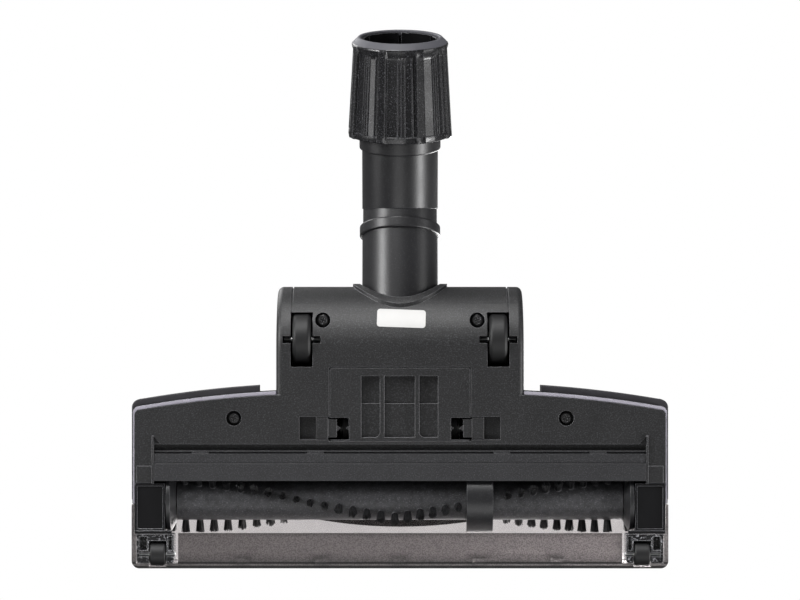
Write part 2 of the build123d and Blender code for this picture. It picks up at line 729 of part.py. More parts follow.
def neck_elbow():
    """Swivelling tube: spigot, short straight, mitred bend, upper tube."""
    outer_a = disc_on(along(tilt_rest, swivel_at + 0.4), lower_tube - 0.35, 60)
    outer_b = disc_on(upper_plane(-40), upper_tube, 40 + sleeve_from)
    spigot = disc_on(along(tilt_rest, swivel_at - 14), tube_bore - 0.4, 15)
    bore_a = disc_on(along(tilt_rest, swivel_at - 20), tube_bore - 2.4, 80)
    bore_b = disc_on(upper_plane(-60), tube_bore - 2.4, 60 + sleeve_from + 1)
    mitre = along(tilt_rest - elbow_angle / 2, 0)
    bend = along(tilt_rest, mitre_at).origin
    mitre = Plane(origin=bend, x_dir=(1, 0, 0), z_dir=mitre.z_dir)
    near = extrude(mitre * Rectangle(120, 120), -120)
    far = extrude(mitre * Rectangle(120, 120), 160)
    first = (outer_a + spigot - bore_a) & near
    second = (outer_b - bore_b) & far
    return first + second


def collar_ring():
    ring = disc_on(upper_plane(collar_from), collar_radius, 7.2)
    ring = ring - disc_on(upper_plane(collar_from - 5), upper_tube, 30)
    rims = [e for e in ring.edges()
            if e.geom_type == GeomType.CIRCLE and abs(e.radius - collar_radius) < 0.01]
    return fillet(rims, 0.9)


def clamp_sleeve():
    """Slit sleeve that the nut closes on the vacuum tube."""
    body = disc_on(upper_plane(sleeve_from + 0.1), sleeve_outer, sleeve_to - sleeve_from - 0.1)
    body = body - disc_on(upper_plane(sleeve_from - 5), sleeve_bore, 60)
    for i in range(6):
        turned = upper_plane(sleeve_from + 9) * Rot(0, 0, 60 * i + 30)
        body = body - turned * Pos(sleeve_bore + 0.6, 0, 20) * Box(4, 1.4, 40)
    return body


def adaptor_nut():
    """Tapered clamping nut with grip ribs."""
    length = nut_to - nut_from
    heel = upper_plane(nut_from) * Circle(nut_wide - 1.0)
    body = loft([heel, upper_plane(nut_to) * Circle(nut_narrow - 1.0)])
    for i in range(nut_ribs):
        turned = Rot(0, 0, 360 / nut_ribs * i + nut_turn)
        foot = upper_plane(nut_from) * turned
        rib_low = foot * Pos(nut_wide - 1.4, 0) * Rectangle(2.8, 4.8)
        head = upper_plane(nut_to - 2.2) * turned
        rib_high = head * Pos(nut_narrow - 1.4, 0) * Rectangle(2.8, 4.4)
        body = body + loft([rib_low, rib_high])
    body = body - disc_on(upper_plane(nut_from - 5), nut_bore, length + 20)
    return body


# ---------------------------------------------------------------- write

shared_place = Pos(0, -frame_shift_y, 0)


def write(node, shape):
    export_step(shared_place * shape, "parts/" + node + ".step")


os.makedirs("parts", exist_ok=True)

single_pieces = {
    "base_plate": base_plate,
    "top_shell": top_shell,
    "clear_hood": clear_hood,
    "sole_bar": sole_bar,
    "brush_tunnel": brush_tunnel,
    "service_hatch": service_hatch,
    "housing_screws": housing_screws,
    "blank_label": blank_label,
    "brush_core": brush_core,
    "brush_shaft": brush_shaft,
    "brush_pulley": brush_pulley,
    "drive_belt": drive_belt,
    "belt_guard": belt_guard,
    "turbine_wheel": turbine_wheel,
    "turbine_shaft": turbine_shaft,
    "turbine_pulley": turbine_pulley,
    "neck_barrel": neck_barrel,
    "swivel_ring": swivel_ring,
    "neck_elbow": neck_elbow,
    "collar_ring": collar_ring,
    "clamp_sleeve": clamp_sleeve,
    "adaptor_nut": adaptor_nut,
}
for node, make in single_pieces.items():
    write(node, make())

paired_pieces = {
    "bumper": bumper,
    "skirt": skirt,
    "end_block": end_block,
    "roller_pocket": roller_pocket,
    "latch": latch,
    "pivot_block": pivot_block,
    "rear_wheel": rear_wheel,
    "rear_axle": rear_axle,
    "front_roller": front_roller,
    "front_axle": front_axle,
    "brush_bearing": brush_bearing,
    "bearing_cap": bearing_cap,
    "turbine_bearing": turbine_bearing,
}
for node, make in paired_pieces.items():
    piece = make()
    write(node + "_left", piece)
    write(node + "_right", other_side(piece))

write("bristle_tufts", tufts(False))
write("end_tufts", tufts(True))

chamber = turbine_chamber()
write("turbine_chamber_lower", chamber & block(-50, 50, -100, -40, 0, turbine_z))
write("turbine_chamber_upper", chamber & block(-50, 50, -100, -40, turbine_z, 80))
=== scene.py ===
import math
import random

import bmesh
import bpy
from mathutils import Matrix, Vector


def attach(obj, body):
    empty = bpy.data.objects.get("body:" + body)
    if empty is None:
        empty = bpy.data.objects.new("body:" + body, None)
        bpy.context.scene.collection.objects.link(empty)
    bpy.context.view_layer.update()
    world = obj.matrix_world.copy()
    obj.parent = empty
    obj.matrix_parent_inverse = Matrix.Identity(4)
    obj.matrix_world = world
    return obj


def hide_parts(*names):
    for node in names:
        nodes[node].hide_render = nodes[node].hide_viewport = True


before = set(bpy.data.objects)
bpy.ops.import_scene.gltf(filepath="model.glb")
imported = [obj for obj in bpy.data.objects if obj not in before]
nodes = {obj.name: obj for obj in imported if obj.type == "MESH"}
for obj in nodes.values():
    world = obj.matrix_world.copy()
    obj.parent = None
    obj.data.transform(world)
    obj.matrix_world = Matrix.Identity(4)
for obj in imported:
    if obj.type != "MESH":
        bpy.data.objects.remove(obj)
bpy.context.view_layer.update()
mm = 0.001
print("frame loaded, CAD nodes:", len(nodes))


# small helpers

def hexColour(code):  # sRGB hex to linear
    parts = [int(code[i:i + 2], 16) / 255 for i in (0, 2, 4)]
    return [p / 12.92 if p <= 0.04045 else ((p + 0.055) / 1.055) ** 2.4 for p in parts] + [1.0]


def addNode(tree, kind, settings=None, links=None):
    node = tree.nodes.new(kind)
    for key, value in (settings or {}).items():
        if isinstance(key, int) or key in node.inputs:
            node.inputs[key].default_value = value
        else:
            setattr(node, key, value)
    for key, source in (links or {}).items():
        tree.links.new(source, node.inputs[key])
    return node


def startMaterial(name):
    material = bpy.data.materials.new(name)
    material.use_nodes = True
    material.node_tree.nodes.clear()
    return material, material.node_tree


def millimetres(tree):  # object coordinates, so that one unit of a pattern is a millimetre
    place = addNode(tree, "ShaderNodeTexCoord")
    return addNode(tree, "ShaderNodeMapping", {"Scale": (1000, 1000, 1000)},
                   {"Vector": place.outputs["Object"]}).outputs["Vector"]


def finish(obj, material, body):
    obj.data.materials.clear()
    obj.data.materials.append(material)
    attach(obj, body)
    return obj


def meshPiece(bm, name, smoothAngle=30):
    mesh = bpy.data.meshes.new(name)
    bm.to_mesh(mesh)
    bm.free()
    mesh.polygons.foreach_set("use_smooth", [True] * len(mesh.polygons))
    mesh.set_sharp_from_angle(angle=math.radians(smoothAngle))
    obj = bpy.data.objects.new(name, mesh)
    bpy.context.scene.collection.objects.link(obj)
    return obj


# materials

def mouldedPlastic(name, look):
    # moulded plastic or rubber: grain from the mould, faint flow mottling, edges painted with a highlight colour
    material, tree = startMaterial(name)
    place = millimetres(tree)
    grain = addNode(tree, "ShaderNodeTexNoise",
                    {"Scale": 1 / look["grainMm"], "Detail": 3.0, "Roughness": 0.65}, {"Vector": place})
    cloud = addNode(tree, "ShaderNodeTexNoise",
                    {"Scale": 1 / look["cloudMm"], "Detail": 4.0, "Roughness": 0.55}, {"Vector": place})
    speck = addNode(tree, "ShaderNodeMapRange", {"From Min": look["speckFrom"], "From Max": look["speckTo"]},
                    {"Value": grain.outputs["Fac"]})
    body = addNode(tree, "ShaderNodeMix",
                   {"data_type": "RGBA", 6: hexColour(look["dark"]), 7: hexColour(look["light"])},
                   {0: cloud.outputs["Fac"]})
    # bright specks in the grain: dust and grain in most looks, painted glints on the nut and round the rollers
    speckled = addNode(tree, "ShaderNodeMix", {"data_type": "RGBA", 7: hexColour(look["speck"])},
                       {0: speck.outputs["Result"], 6: body.outputs[2]})
    rounded = addNode(tree, "ShaderNodeBevel", {"samples": 4, "Radius": look["edgeMm"] * mm})
    face = addNode(tree, "ShaderNodeNewGeometry")
    turned = addNode(tree, "ShaderNodeVectorMath", {"operation": "DOT_PRODUCT"},
                     {0: rounded.outputs["Normal"], 1: face.outputs["Normal"]})
    # the rounded normal leans away from the face's own at an edge: a little lean gets none of the painted edge
    # highlight, a lot gets all of it
    paintedEdgeMask = addNode(tree, "ShaderNodeMapRange", {"From Min": 0.985, "From Max": 0.86, "To Max": look["edgeShare"]},
                   {"Value": turned.outputs["Value"]})
    edgeNormal, paintedEdgeShare = rounded.outputs["Normal"], paintedEdgeMask.outputs["Result"]
    if "flushJointZ" in look:  # two mouldings meet flush here, so that their joint stays a plain surface
        height = addNode(tree, "ShaderNodeSeparateXYZ", {}, {"Vector": place}).outputs["Z"]
        away = addNode(tree, "ShaderNodeMath", {"operation": "COMPARE", 1: look["flushJointZ"], 2: 0.8}, {0: height})
        level = addNode(tree, "ShaderNodeMath", {"operation": "SUBTRACT", 0: 1.0}, {1: away.outputs["Value"]})
        paintedEdgeShare = addNode(tree, "ShaderNodeMath", {"operation": "MULTIPLY"},
                            {0: paintedEdgeShare, 1: level.outputs["Value"]}).outputs["Value"]
        edgeNormal = addNode(tree, "ShaderNodeMix", {"data_type": "VECTOR"},
                             {0: away.outputs["Value"], 4: edgeNormal, 5: face.outputs["Normal"]}).outputs[1]
    # painted edge highlight: the edge tone is mixed over the colour along every edge, whatever the lighting
    colour = addNode(tree, "ShaderNodeMix", {"data_type": "RGBA", 7: hexColour(look["edge"])},
                     {0: paintedEdgeShare, 6: speckled.outputs[2]}).outputs[2]
    rough = addNode(tree, "ShaderNodeMapRange", {"To Min": look["roughness"][0], "To Max": look["roughness"][1]},
                    {"Value": cloud.outputs["Fac"]}).outputs["Result"]
    if "mattEnd" in look:  # one end of the piece left matt from the mould and painted a lighter grey, a painted highlight for the light that end catches
        end = look["mattEnd"]
        inward = addNode(tree, "ShaderNodeVectorMath", {"operation": "SUBTRACT", 1: end["from"]}, {0: place})
        along = addNode(tree, "ShaderNodeVectorMath", {"operation": "DOT_PRODUCT", 1: end["axis"]},
                        {0: inward.outputs["Vector"]})
        share = addNode(tree, "ShaderNodeMapRange", {"From Max": 0.3},
                        {"Value": along.outputs["Value"]}).outputs["Result"]
        colour = addNode(tree, "ShaderNodeMix", {"data_type": "RGBA", 7: hexColour(end["colour"])},
                         {0: share, 6: colour}).outputs[2]
        rough = addNode(tree, "ShaderNodeMix", {3: end["roughness"]}, {0: share, 2: rough}).outputs[0]
    bump = addNode(tree, "ShaderNodeBump", {"Strength": look["grainStrength"], "Distance": look["grainDepthMm"] * mm},
                   {"Height": grain.outputs["Fac"], "Normal": edgeNormal})
    shader = addNode(tree, "ShaderNodeBsdfPrincipled", {"IOR": look["ior"]},
                     {"Base Color": colour, "Roughness": rough, "Normal": bump.outputs["Normal"]})
    addNode(tree, "ShaderNodeOutputMaterial", {}, {"Surface": shader.outputs["BSDF"]})
    return material


def metal(name, look):
    # metal stock or plating: fine turning scratches and small dull patches
    material, tree = startMaterial(name)
    place = millimetres(tree)
    stretched = addNode(tree, "ShaderNodeMapping", {"Scale": look["stretch"]}, {"Vector": place})
    lines = addNode(tree, "ShaderNodeTexNoise", {"Scale": 1 / look["lineMm"], "Detail": 2.0},
                    {"Vector": stretched.outputs["Vector"]})
    dull = addNode(tree, "ShaderNodeTexNoise", {"Scale": 1 / look["patchMm"], "Detail": 4.0}, {"Vector": place})
    colour = addNode(tree, "ShaderNodeMix",
                     {"data_type": "RGBA", 6: hexColour(look["dark"]), 7: hexColour(look["light"])},
                     {0: dull.outputs["Fac"]})
    rough = addNode(tree, "ShaderNodeMapRange", {"To Min": look["roughness"][0], "To Max": look["roughness"][1]},
                    {"Value": lines.outputs["Fac"]})
    bump = addNode(tree, "ShaderNodeBump", {"Strength": 0.25, "Distance": 0.01 * mm},
                   {"Height": lines.outputs["Fac"]})
    shader = addNode(tree, "ShaderNodeBsdfPrincipled", {"Metallic": 1.0},
                     {"Base Color": colour.outputs[2], "Roughness": rough.outputs["Result"],
                      "Normal": bump.outputs["Normal"]})
    addNode(tree, "ShaderNodeOutputMaterial", {}, {"Surface": shader.outputs["BSDF"]})
    return material


def clearPlastic(name, look):
    # clear polycarbonate with a soft inner matt face: frosty, faintly smoked, lets lamps through
    material, tree = startMaterial(name)
    place = millimetres(tree)
    haze = addNode(tree, "ShaderNodeTexNoise", {"Scale": 1 / look["hazeMm"], "Detail": 4.0}, {"Vector": place})
    grain = addNode(tree, "ShaderNodeTexNoise", {"Scale": 1 / look["grainMm"], "Detail": 2.0}, {"Vector": place})
    tone = addNode(tree, "ShaderNodeMix",
                   {"data_type": "RGBA", 6: hexColour(look["dark"]), 7: hexColour(look["light"])},
                   {0: haze.outputs["Fac"]})
    rough = addNode(tree, "ShaderNodeMapRange", {"To Min": look["roughness"][0], "To Max": look["roughness"][1]},
                    {"Value": haze.outputs["Fac"]})
    rounded = addNode(tree, "ShaderNodeBevel", {"samples": 4, "Radius": look["edgeMm"] * mm})
    if look["lip"]:  # etched lip underneath, with painted shade: dark bands at the front wall's two edges where light is lost inside it, shadows of the ribs behind, darker under the tufts
        lip = look["lip"]
        axes = addNode(tree, "ShaderNodeSeparateXYZ", {}, {"Vector": place})
        under = addNode(tree, "ShaderNodeMapRange", {"From Min": lip["top"] + 0.4, "From Max": lip["top"]},
                        {"Value": axes.outputs["Z"]})
        speck = addNode(tree, "ShaderNodeMapRange", {"From Min": 0.4, "From Max": 0.62},
                        {"Value": grain.outputs["Fac"]})
        etched = addNode(tree, "ShaderNodeMix",
                         {"data_type": "RGBA", 6: hexColour(lip["dark"]), 7: hexColour(lip["light"])},
                         {0: speck.outputs["Result"]})
        reach = lip["wall"][-1][0]
        wallShare = addNode(tree, "ShaderNodeMapRange",
                            {"From Min": lip["front"], "From Max": lip["front"] + reach}, {"Value": axes.outputs["Y"]})
        wall = addNode(tree, "ShaderNodeValToRGB", {}, {"Fac": wallShare.outputs["Result"]})
        stops = wall.color_ramp.elements
        stops[0].color, stops[1].color = hexColour(lip["wall"][0][1]), hexColour(lip["wall"][-1][1])
        for behind, code in lip["wall"][1:-1]:
            stops.new(behind / reach).color = hexColour(code)
        # painted shadows of the ribs, seen through the frosted lip
        across = addNode(tree, "ShaderNodeMath", {"operation": "PINGPONG", 1: lip["ribPitch"] / 2},
                         {0: axes.outputs["X"]})
        nearRib = addNode(tree, "ShaderNodeMapRange",
                          {"interpolation_type": "SMOOTHSTEP", "From Min": 0.0, "From Max": lip["ribBlur"]},
                          {"Value": across.outputs["Value"]})
        behindRib = addNode(tree, "ShaderNodeMapRange",
                            {"interpolation_type": "SMOOTHSTEP", "From Min": lip["front"] + lip["ribShadow"][0],
                             "From Max": lip["front"] + lip["ribShadow"][1]}, {"Value": axes.outputs["Y"]})
        clearOfRib = addNode(tree, "ShaderNodeMath", {"operation": "MAXIMUM"},
                             {0: nearRib.outputs["Result"], 1: behindRib.outputs["Result"]})
        shade = addNode(tree, "ShaderNodeMapRange", {"To Min": 0.35}, {"Value": clearOfRib.outputs["Value"]})
        ribShadowed = addNode(tree, "ShaderNodeVectorMath", {"operation": "SCALE"},
                         {0: etched.outputs[2], "Scale": shade.outputs["Result"]})
        wallShaded = addNode(tree, "ShaderNodeVectorMath", {"operation": "MULTIPLY"},
                         {0: ribShadowed.outputs["Vector"], 1: wall.outputs["Color"]})
        colour = addNode(tree, "ShaderNodeMix", {"data_type": "RGBA"},
                         {0: under.outputs["Result"], 6: tone.outputs[2], 7: wallShaded.outputs["Vector"]})
        rough = addNode(tree, "ShaderNodeMix", {3: lip["roughness"]},
                        {0: under.outputs["Result"], 2: rough.outputs["Result"]})
    else:
        colour = tone
    bump = addNode(tree, "ShaderNodeBump", {"Strength": 0.15, "Distance": 0.02 * mm},
                   {"Height": grain.outputs["Fac"], "Normal": rounded.outputs["Normal"]})
    glass = addNode(tree, "ShaderNodeBsdfPrincipled", {"IOR": 1.585, "Transmission Weight": look["clear"]},
                    {"Base Color": colour.outputs[2], "Roughness": rough.outputs[0],
                     "Normal": bump.outputs["Normal"]})
    through = addNode(tree, "ShaderNodeBsdfTransparent", {"Color": hexColour(look["lampTint"])})
    path = addNode(tree, "ShaderNodeLightPath")
    mixed = addNode(tree, "ShaderNodeMixShader", {}, {0: path.outputs["Is Shadow Ray"], 1: glass.outputs["BSDF"],
                                                      2: through.outputs["BSDF"]})
    addNode(tree, "ShaderNodeOutputMaterial", {}, {"Surface": mixed.outputs["Shader"]})
    return material


nutHeel = (0.0, 85.367, 45.930)  # middle of the nut's lower end, mm
nutFall = -15.2                  # degrees, the slope of the upper tube
nutAxis = Vector((0.0, math.cos(math.radians(nutFall)), math.sin(math.radians(nutFall))))
nutChamferAt = 49.8              # mm from the heel

# matt ABS from a spark-eroded mould: dark grey, a fine glittering grain of about half a millimetre
texturedAbs = mouldedPlastic("sparkTexturedAbs", {
    "dark": "101011", "light": "161617", "speck": "424245", "edge": "a2a2a6", "edgeShare": 0.6, "edgeMm": 0.35,
    "grainMm": 0.62, "cloudMm": 22, "speckFrom": 0.5, "speckTo": 0.72, "grainStrength": 0.6, "grainDepthMm": 0.08,
    "flushJointZ": 14.0, "roughness": (0.42, 0.55), "ior": 1.54})

# satin ABS: smoother mould, a soft broad highlight down the tubes
satinAbs = mouldedPlastic("satinMouldedAbs", {
    "dark": "18181a", "light": "1f1f21", "speck": "3a3a3d", "edge": "77777c", "edgeShare": 0.5, "edgeMm": 0.35,
    "grainMm": 0.7, "cloudMm": 18, "speckFrom": 0.54, "speckTo": 0.78, "grainStrength": 0.65, "grainDepthMm": 0.07,
    "roughness": (0.32, 0.42), "ior": 1.54})

# polished ABS: deep black, its edges painted with sharp white highlights
glossAbs = mouldedPlastic("polishedAbs", {
    "dark": "111112", "light": "171719", "speck": "242427", "edge": "8a8a90", "edgeShare": 0.7, "edgeMm": 0.35,
    "grainMm": 0.7, "cloudMm": 15, "speckFrom": 0.66, "speckTo": 0.9, "grainStrength": 0.1, "grainDepthMm": 0.02,
    "roughness": (0.12, 0.2), "ior": 1.54})

# the same round the front rollers: a black gloss with bright specks and edges painted as glints of the clear hood
# round it
glintSpeckledAbs = mouldedPlastic("scuffedPolishedAbs", {
    "dark": "0d0d0e", "light": "2a2a2c", "speck": "a8a8ad", "edge": "d0d0d4", "edgeShare": 0.9, "edgeMm": 0.5,
    "grainMm": 1.1, "cloudMm": 2.5, "speckFrom": 0.56, "speckTo": 0.68, "grainStrength": 0.7, "grainDepthMm": 0.15,
    "roughness": (0.1, 0.22), "ior": 1.54})

# glass-filled nylon of the nut: glossy black, the sparkle of its surface fibres painted as bright specks, its chamfer
# left matt and painted lighter as a highlight
nutNylon = mouldedPlastic("glossGripNylon", {
    "dark": "0e0e10", "light": "161618", "speck": "8c8c92", "edge": "a8a8ae", "edgeShare": 0.35, "edgeMm": 0.2,
    "grainMm": 0.6, "cloudMm": 12, "speckFrom": 0.58, "speckTo": 0.82, "grainStrength": 0.45, "grainDepthMm": 0.05,
    "roughness": (0.2, 0.32), "ior": 1.53,
    "mattEnd": {"from": Vector(nutHeel) + nutAxis * nutChamferAt, "axis": nutAxis,
                "colour": "4c4c52", "roughness": 0.6}})

# polypropylene brush body: dry dark grey with cloudy flow marks, made strong enough to stand in for its mottled
# highlights too
brushPolypropylene = mouldedPlastic("dryPolypropylene", {
    "dark": "050506", "light": "49494c", "speck": "6c6c70", "edge": "9a9a9e", "edgeShare": 0.6, "edgeMm": 0.3,
    "grainMm": 0.7, "cloudMm": 2.8, "speckFrom": 0.56, "speckTo": 0.8, "grainStrength": 0.4, "grainDepthMm": 0.05,
    "roughness": (0.4, 0.6), "ior": 1.49})

# cross bar: the same ABS rubbed paler by carpets, its steps given only a faint painted edge highlight
rubbedAbs = mouldedPlastic("carpetRubbedAbs", {
    "dark": "202022", "light": "2a2a2c", "speck": "5a5a5e", "edge": "4a4a4d", "edgeShare": 0.3, "edgeMm": 0.3,
    "grainMm": 0.6, "cloudMm": 16, "speckFrom": 0.52, "speckTo": 0.78, "grainStrength": 0.5, "grainDepthMm": 0.06,
    "roughness": (0.4, 0.5), "ior": 1.54})

# soft bumper rubber: even satin grey-black, faint bloom
bumperRubber = mouldedPlastic("bloomedBumperRubber", {
    "dark": "2a292c", "light": "353438", "speck": "4b4a4e", "edge": "6f6e74", "edgeShare": 0.5, "edgeMm": 0.8,
    "grainMm": 0.6, "cloudMm": 14, "speckFrom": 0.62, "speckTo": 0.9, "grainStrength": 0.25, "grainDepthMm": 0.03,
    "roughness": (0.42, 0.55), "ior": 1.52})

# wheel elastomer: satin black with fine dust in the grain
wheelRubber = mouldedPlastic("softWheelElastomer", {
    "dark": "09090a", "light": "101012", "speck": "252528", "edge": "65656a", "edgeShare": 0.4, "edgeMm": 0.5,
    "grainMm": 0.5, "cloudMm": 8, "speckFrom": 0.6, "speckTo": 0.85, "grainStrength": 0.35, "grainDepthMm": 0.04,
    "roughness": (0.48, 0.6), "ior": 1.52})

# neoprene belt: flat matt black
beltNeoprene = mouldedPlastic("mattNeoprene", {
    "dark": "121212", "light": "1c1c1c", "speck": "2c2c2c", "edge": "3c3c3c", "edgeShare": 0.3, "edgeMm": 0.3,
    "grainMm": 0.7, "cloudMm": 6, "speckFrom": 0.6, "speckTo": 0.9, "grainStrength": 0.5, "grainDepthMm": 0.06,
    "roughness": (0.65, 0.8), "ior": 1.52})

# turbine acetal: smooth, waxy mid grey
turbineAcetal = mouldedPlastic("waxyAcetal", {
    "dark": "4a4a4e", "light": "57575b", "speck": "68686c", "edge": "8c8c90", "edgeShare": 0.4, "edgeMm": 0.3,
    "grainMm": 1.2, "cloudMm": 10, "speckFrom": 0.6, "speckTo": 0.9, "grainStrength": 0.15, "grainDepthMm": 0.03,
    "roughness": (0.3, 0.42), "ior": 1.48})

# nylon filament: black, each bristle with its own thin glint
bristleNylon = mouldedPlastic("drawnNylonFilament", {
    "dark": "101011", "light": "29292b", "speck": "3c3c3f", "edge": "303033", "edgeShare": 0.0, "edgeMm": 0.05,
    "grainMm": 0.9, "cloudMm": 2.5, "speckFrom": 0.6, "speckTo": 0.8, "grainStrength": 0.1, "grainDepthMm": 0.02,
    "roughness": (0.3, 0.42), "ior": 1.53})

# coated sticker paper: blank, off-white, painted a little grey along its edges
stickerPaper = mouldedPlastic("coatedStickerPaper", {
    "dark": "c6c5c4", "light": "d2d1cf", "speck": "b9b8b6", "edge": "a9a9a8", "edgeShare": 0.5, "edgeMm": 0.2,
    "grainMm": 0.5, "cloudMm": 9, "speckFrom": 0.62, "speckTo": 0.9, "grainStrength": 0.1, "grainDepthMm": 0.01,
    "roughness": (0.35, 0.45), "ior": 1.5})

# phosphated screw steel: dull black, the rims of head and cross painted with bright highlights
phosphatedSteel = mouldedPlastic("phosphatedScrewSteel", {
    "dark": "0b0b0c", "light": "161618", "speck": "55555a", "edge": "d4d4d8", "edgeShare": 0.85, "edgeMm": 0.25,
    "grainMm": 0.5, "cloudMm": 1.6, "speckFrom": 0.6, "speckTo": 0.75, "grainStrength": 0.3, "grainDepthMm": 0.03,
    "roughness": (0.3, 0.45), "ior": 1.9})

# ground axle steel: bright, fine turning lines round it
groundSteel = metal("groundAxleSteel", {"dark": "d6d7d8", "light": "efefef", "stretch": (1, 0.1, 0.1), "lineMm": 0.2,
                                        "patchMm": 3, "roughness": (0.4, 0.55)})

# sintered bronze: brown-gold with pores
sinteredBronze = metal("sinteredBronze", {"dark": "80603a", "light": "a8834f", "stretch": (1, 1, 1), "lineMm": 0.3,
                                          "patchMm": 0.8, "roughness": (0.35, 0.55)})

# hood polycarbonate: lightly smoked and frosted, its lip painted with shade where the view runs through its thickness
hoodPolycarbonate = clearPlastic("smokedPolycarbonate", {
    "dark": "b4b0b0", "light": "c6c2c2", "lampTint": "c9c7c7", "hazeMm": 14, "grainMm": 0.6, "edgeMm": 0.35,
    "clear": 0.9, "roughness": (0.1, 0.18),
    "lip": {"top": 4.3, "front": -142.8, "dark": "4c4848", "light": "807a7a", "roughness": 0.42,
            "ribPitch": 40.8, "ribBlur": 8.0, "ribShadow": (4.0, 9.5),
            # painted shade and light across the front wall and the lip behind it, darker again under the tufts: mm
            # behind the face, hex
            "wall": ((0.0, "0c0c0c"), (1.3, "0c0c0c"), (1.65, "f4f4f4"), (2.15, "f4f4f4"), (2.5, "141414"),
                     (3.1, "141414"), (3.7, "c4c4c4"), (8.5, "ffffff"), (16.0, "ffffff"), (18.2, "c8c8c8"))}})

# rim polycarbonate: clear, its edge painted pale with a violet cast for the light it reflects
rimPolycarbonate = clearPlastic("milkyPolycarbonate", {
    "dark": "a9a6b0", "light": "bdbac4", "lampTint": "dcdae0", "hazeMm": 18, "grainMm": 0.6, "edgeMm": 0.4,
    "clear": 0.25, "roughness": (0.22, 0.32), "lip": None})

finishes = {
    "black_abs_textured": texturedAbs, "black_abs_satin": satinAbs, "black_abs_gloss": glossAbs,
    "nut_gloss_black": nutNylon, "clear_pc": hoodPolycarbonate, "zinc_steel": phosphatedSteel,
    "bright_steel": groundSteel, "label_paper": stickerPaper, "brush_black_pp": brushPolypropylene,
    "belt_rubber": beltNeoprene, "bumper_rubber": bumperRubber, "wheel_soft_black": wheelRubber,
    "turbine_plastic": turbineAcetal, "black_nylon": bristleNylon, "bearing_bronze": sinteredBronze}
for name, node in nodes.items():
    for place in node.material_slots:
        place.material = finishes[place.material.name]
nodes["sole_bar"].material_slots[0].material = rubbedAbs
nodes["belt_guard"].material_slots[0].material = satinAbs
for side in ("_left", "_right"):
    for name, own in (("skirt", rimPolycarbonate), ("end_block", glossAbs), ("latch", texturedAbs),
                      ("roller_pocket", glintSpeckledAbs)):
        nodes[name + side].material_slots[0].material = own
print("materials made:", len(bpy.data.materials))


# adaptor nut: ribbed and beaded by column round it, tapered by level along it

nutLook = {
    "length": 52.8, "wide": 28.9, "narrow": 25.7, "bore": 20.8, "ribs": 8, "firstRib": 24.0,
    "ribHeight": 1.25, "beadHeight": 0.62, "beadHalf": 0.55, "beads": (9.4, 11.3, 13.2, 17.9),
    "ribShape": ((-2.8, 0.0), (-2.5, 0.72), (-2.2, 1.0), (-1.7, 0.8), (1.7, 0.8), (2.2, 1.0), (2.5, 0.72), (2.8, 0.0))}


def nutColumns(look):  # (turn in degrees, share of rib, share of bead) for each column of points
    step = 360 / look["ribs"]
    arc = math.pi / 180 * look["wide"]
    columns = []
    for rib in range(look["ribs"]):
        for offset, share in look["ribShape"]:
            columns.append((look["firstRib"] + rib * step + offset / arc, share, 0.0))
        for middle in look["beads"]:
            for offset, share in ((-1.0, 0.0), (-0.45, 0.9), (0.0, 1.0), (0.45, 0.9), (1.0, 0.0)):
                turn = look["firstRib"] + rib * step + (middle + offset * look["beadHalf"]) / arc
                columns.append((turn, 0.0, share))
    return columns


def buildNut(look):
    columns = nutColumns(look)
    bm = bmesh.new()
    bmesh.ops.create_circle(bm, segments=len(columns), radius=1.0)
    taper = (look["wide"] - look["narrow"]) / look["length"]

    def outer(t):
        return look["wide"] - look["ribHeight"] - taper * t

    # level: along, radius at the panel, rib share, bead share
    levels = [(0.7, look["bore"], 0, 0), (0.0, look["bore"] + 0.7, 0, 0), (0.0, outer(0) - 0.9, 0.4, 0),
              (0.25, outer(0) - 0.25, 0.8, 0), (0.9, outer(1), 1, 0), (3.4, outer(3.4), 1, 0),
              (3.75, outer(3.8) - 0.5, 1.4, 0)]
    for t in (4.1, 14, 24, 34, 44.0):
        levels.append((t, outer(t) - 0.55, 1.44, 1))
    levels += [(44.8, outer(44.8) - 0.5, 1.4, 0.55), (45.6, outer(45.6) - 0.25, 1.2, 0.0),
               (46.7, outer(46.7) + 0.15, 0.85, 0), (47.9, outer(47.9) + 0.65, 0.45, 0),
               (49.0, outer(49.0) + 0.95, 0.1, 0), (49.7, outer(49.7) + 0.8, 0, 0), (52.2, outer(52.2) - 1.6, 0, 0),
               (52.7, outer(52.7) - 2.2, 0, 0), (52.8, outer(52.8) - 2.7, 0, 0),
               (52.7, look["bore"] + 0.4, 0, 0), (52.2, look["bore"], 0, 0)]
    ring = bm.verts[:]
    ring.sort(key=lambda v: math.atan2(v.co.y, v.co.x) % (2 * math.pi))
    firstEdges = bm.edges[:]
    edges = firstEdges

    def shape(points, level):
        t, radius, ribShare, beadShare = level
        for point, (turn, rib, bead) in zip(points, columns):
            angle = math.radians(turn)
            reach = radius + rib * ribShare * look["ribHeight"] + bead * beadShare * look["beadHeight"]
            point.co = Vector((reach * math.cos(angle), reach * math.sin(angle), t))

    order = {v: i for i, v in enumerate(ring)}
    shape(ring, levels[0])
    for level in levels[1:]:
        made = bmesh.ops.extrude_edge_only(bm, edges=edges)["geom"]
        verts = [g for g in made if isinstance(g, bmesh.types.BMVert)]
        edges = [g for g in made if isinstance(g, bmesh.types.BMEdge)]
        fresh = {}
        for v in verts:
            for e in v.link_edges:
                other = e.other_vert(v)
                if other in order:
                    fresh[v] = order[other]
        points = sorted(verts, key=lambda v: fresh[v])
        order = {v: i for i, v in enumerate(points)}
        shape(points, level)
    bmesh.ops.bridge_loops(bm, edges=firstEdges + edges)
    bmesh.ops.recalc_face_normals(bm, faces=bm.faces)
    turn = Matrix.Rotation(math.radians(nutFall) - math.pi / 2, 4, "X")
    place = Matrix.Translation(Vector(nutHeel) * mm) @ turn @ Matrix.Scale(mm, 4)
    bmesh.ops.transform(bm, matrix=place, verts=bm.verts)
    return bm


nut = finish(meshPiece(buildNut(nutLook), "ribbed_nut", 24), nutNylon, "nut")
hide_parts("adaptor_nut")
